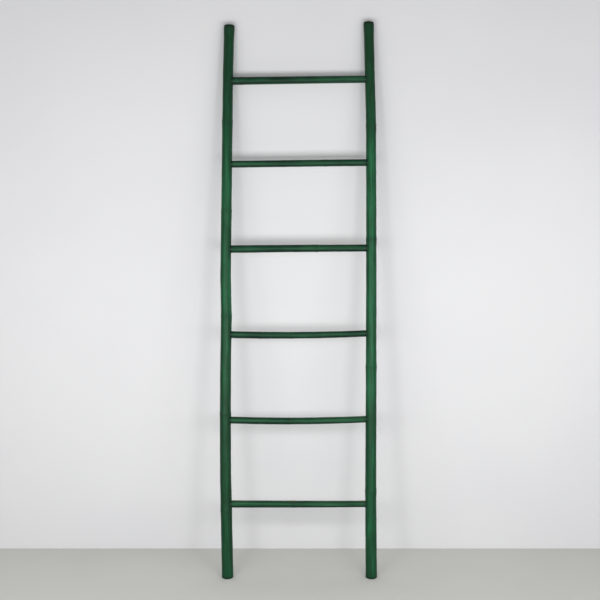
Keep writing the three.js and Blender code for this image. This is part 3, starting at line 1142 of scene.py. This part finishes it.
@dataclass
class Studio:
    """A pale floor and wall, soft light from the front, and a camera square to the ladder's plane."""

    plane: LadderPlane
    wall_at: float  # along the row's Y
    aim_up: float = 0.8994  # where the camera's axis meets the ladder, along the poles
    aim_across: float = 0.0053
    distance: float = 3.749
    lens: float = 69.4  # millimetres, as the sensor's width is
    sensor: float = 36.0
    ambient: float = 0.38
    air: float = 0.78  # how bright the room looks past the backdrops
    half_width: float = 3.2
    wall_height: float = 3.2
    softboxes: tuple[Softbox, ...] = (
        Softbox("wide_softbox", across=0.15, up=0.72, away=1.6, width=3.8, height=0.5, watts=26.0),
        Softbox("left_strip", across=-0.9, up=0.9, away=2.3, width=0.4, height=0.8, watts=7.0),
        Softbox("right_strip", across=0.9, up=0.9, away=2.3, width=0.4, height=0.8, watts=7.0),
    )

    def sheet(self, name: str, corners: Sequence[Sequence[float]], finish: MattPaint) -> None:
        """Adds one flat backdrop.

        Args:
            name: its name.
            corners: its four corners, turning left as seen from its front.
            finish: its paint.
        """
        mesh = bpy.data.meshes.new(name)
        mesh.from_pydata(corners, [], [(0, 1, 2, 3)])
        mesh.materials.append(finish.build())
        backdrop = bpy.data.objects.new(name, mesh)
        bpy.context.scene.collection.objects.link(backdrop)
        backdrop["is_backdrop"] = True

    def backdrops(self) -> None:
        """Lays the floor and puts up the wall that the ladder leans on."""
        w, y, h = self.half_width, self.wall_at, self.wall_height
        floor = [(-w, -w, 0), (w, -w, 0), (w, w, 0), (-w, w, 0)]
        self.sheet("studio_floor", floor, MattPaint("sealed_screed", "cdcdc8", "c9c9c4", nap=2.5 * MM))
        wall = [(-w, y, 0), (w, y, 0), (w, y, h), (-w, y, h)]
        self.sheet("studio_wall", wall, MattPaint("wall_emulsion", "e4e4e6", "e1e1e4", one_sided=True))

    def lights(self) -> None:
        """Hangs the softboxes, each facing the ladder squarely."""
        for box in self.softboxes:
            lamp = bpy.data.lights.new(box.name, "AREA")
            lamp.shape, lamp.size, lamp.size_y, lamp.energy = "RECTANGLE", box.width, box.height, box.watts
            holder = bpy.data.objects.new(box.name, lamp)
            holder.visible_camera = False
            place = np.array([box.across, -box.away, box.up])
            self.point(holder, place, place + [0.0, box.away, 0.0])

    def room(self) -> None:
        """Fills the room with white light: one strength for the pieces, another where the camera sees it."""
        tree = Tree(bpy.data.worlds.new("studio_air"))
        seen = tree.add("LightPath", {}, "Is Camera Ray")
        strength = tree.add("MapRange", {"Value": seen, "To Min": self.ambient, "To Max": self.air})
        tree.add("OutputWorld", {"Surface": tree.add("Background", {"Color": WHITE, "Strength": strength})})
        bpy.context.scene.world = tree.owner

    def camera(self) -> None:
        """Sets the camera up with its axis square to the ladder's plane."""
        lens = bpy.data.cameras.new("studio_camera")
        lens.lens, lens.sensor_width = self.lens, self.sensor
        holder = bpy.data.objects.new("studio_camera", lens)
        aim = np.array([self.aim_across, 0.0, self.aim_up])
        self.point(holder, aim - [0.0, self.distance, 0.0], aim)
        bpy.context.scene.camera = holder

    def point(self, holder: Object, place: np.ndarray, aim: np.ndarray) -> None:
        """Turns a light or a camera at a place towards its aim, both in the ladder's directions."""
        bpy.context.scene.collection.objects.link(holder)
        start, stop = self.plane.to_row(np.array([place, aim]))
        holder.location = start
        holder.rotation_euler = Vector(stop - start).to_track_quat("-Z", "Y").to_euler()

    def build(self) -> None:
        """Makes the whole studio."""
        bpy.context.scene.view_settings.view_transform = "Standard"
        self.camera()
        self.lights()
        self.room()
        self.backdrops()


# ---- The ladder ----------------------------------------------------------------------------------

# The tones along the poles are partly the stain's own uneven take and partly painted light: lighter near
# mid-height, where the highlight falls, and darkest at the top, where the light falls off. The default flank
# shade draws the poles' left and right edges darker.
LEFT_LOOK = CulmLook(
    stain_and_light_tones=(
        (0.0, 0.45), (0.06, 0.3), (0.1, 0.1), (0.21, 0.15), (0.33, 0.3), (0.4, 0.45), (0.52, 0.65),
        (0.62, 0.5), (0.7, 0.75), (0.74, 0.55), (0.8, 0.45), (0.85, 0.4), (0.88, 0.15), (1.0, 0.05),
    ),
    scars=(0.2, 0.35, 0.3, 0.35, 0.25, 0.3),
)
RIGHT_LOOK = CulmLook(
    stain_and_light_tones=(
        (0.0, 0.45), (0.09, 0.5), (0.13, 0.55), (0.19, 0.55), (0.24, 0.2), (0.31, 0.5), (0.37, 0.75),
        (0.45, 0.55), (0.55, 0.6), (0.64, 0.65), (0.73, 0.75), (0.79, 0.45), (0.85, 0.35), (0.9, 0.2),
        (0.93, 0.05), (1.0, 0.0),
    ),
    scars=(0.25, 0.3, 0.85, 0.25, 0.3),
)
# Painted shade on the rungs: the low rungs are drawn darker underneath and the high ones darker on top, as
# the light comes from between them.
RUNG_LOOKS = (
    CulmLook(stain_and_light_tones=((0.0, 0.5), (1.0, 0.6)), flank_shade=(0.9, 0.1), worn=0.5),
    CulmLook(stain_and_light_tones=((0.0, 0.5), (1.0, 0.55)), flank_shade=(0.9, 0.2), worn=0.4),
    CulmLook(stain_and_light_tones=((0.0, 0.35), (1.0, 0.3)), flank_shade=(0.8, 0.3), worn=0.16),
    CulmLook(stain_and_light_tones=((0.0, 0.4), (1.0, 0.4)), flank_shade=(0.6, 0.6), worn=0.1),
    CulmLook(stain_and_light_tones=((0.0, 0.5), (1.0, 0.45)), flank_shade=(0.3, 0.6), worn=0.1),
    CulmLook(stain_and_light_tones=((0.0, 0.4), (1.0, 0.4)), flank_shade=(0.3, 0.6), worn=0.1),
)


@dataclass
class Ladder:
    """The whole ladder, piece by piece."""

    nodes: dict[str, Object]
    plane: LadderPlane
    pole_looks: dict[int, CulmLook] = field(default_factory=lambda: {-1: LEFT_LOOK, 1: RIGHT_LOOK})
    rung_looks: tuple[CulmLook, ...] = RUNG_LOOKS
    pin_diameter: float = 5 * MM
    pin_ease: float = 0.4 * MM

    def pin(self, rung: Rung, side: str) -> RoundStick:
        """The pin through one end of a rung."""
        name = f"{rung.name}_{side}_pin"
        size = {"diameter": self.pin_diameter, "ease": self.pin_ease}
        return RoundStick(name + "_stick", name, "stained_pin", self.plane, Run.DEPTH, **size)

    def build(self) -> None:
        """Reads every culm from the frame, makes the pieces and gives each its finish."""
        reader = FrameReader(self.plane)
        skin = StainedBambooSkin("stained_bamboo_pole").build()
        # The rungs' deep is darker, to carry the painted shade on their top or underside.
        rung_skin = StainedBambooSkin(
            "stained_bamboo_rung", deep="06281a", body="16472c", light="275c3c", ochre="66592f"
        ).build()
        cut = CutBamboo("cut_bamboo").build()
        rungs = []
        for k, look in enumerate(self.rung_looks):
            rungs.append(Rung(k + 1, self.plane, reader.centre_line(f"rung_{k + 1}", Run.ACROSS), look))
        heights = [float(rung.line.offset[:, 1].mean()) for rung in rungs]

        faces = []
        for side, name in SIDES.items():
            line = reader.centre_line(name + "_stile", Run.UP, heights)
            pole = Pole(side, self.plane, line, self.pole_looks[side])
            finish(pole.build(rungs, [self.pin(rung, name).drill() for rung in rungs]), skin, cut)
            faces.append([float(line.centre(h)[0] - side * line.thickness(h)) for h in heights])

        for k, rung in enumerate(rungs):
            pins = [self.pin(rung, name) for name in SIDES.values()]
            finish(rung.build((faces[0][k], faces[1][k]), [pin.drill() for pin in pins]), rung_skin, cut)
            for pin in pins:
                finish(pin.build(), cut)
        self.dress_hidden()

    def dress_hidden(self) -> None:
        """Gives the dowel cores and the foot plugs, which keep the frame's shape, their turned wood."""
        bare = TurnedBeech("turned_beech_dowel").build()
        stained = TurnedBeech("turned_beech_plug", stained=0.7).build()
        for name, node in self.nodes.items():
            if name.endswith(("_core", "_plug")):
                node.data.materials.clear()
                finish(node, bare if name.endswith("_core") else stained)


def finish(piece: Object, *finishes: Material) -> None:
    """Gives a piece its finishes, and logs its name and how many faces it has."""
    for material in finishes:
        piece.data.materials.append(material)
    LOG.info("%s: %d faces", piece.name, len(piece.data.polygons))


def main() -> None:
    """Loads the frame and builds the studio and the ladder in it."""
    logging.basicConfig(level=logging.INFO, format="%(name)s %(message)s")
    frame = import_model()
    cad_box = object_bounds()
    low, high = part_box("left_foot_plug")
    plug_top = high[2] - low[2]
    plane = LadderPlane(foot_depth=float(low[1] + high[1] - plug_top * math.tan(LEAN)) / 2)
    Studio(plane, wall_at=float(cad_box[1][1]) + 0.5 * MM).build()
    Ladder(frame["nodes"], plane).build()


if __name__ == "__main__":
    main()
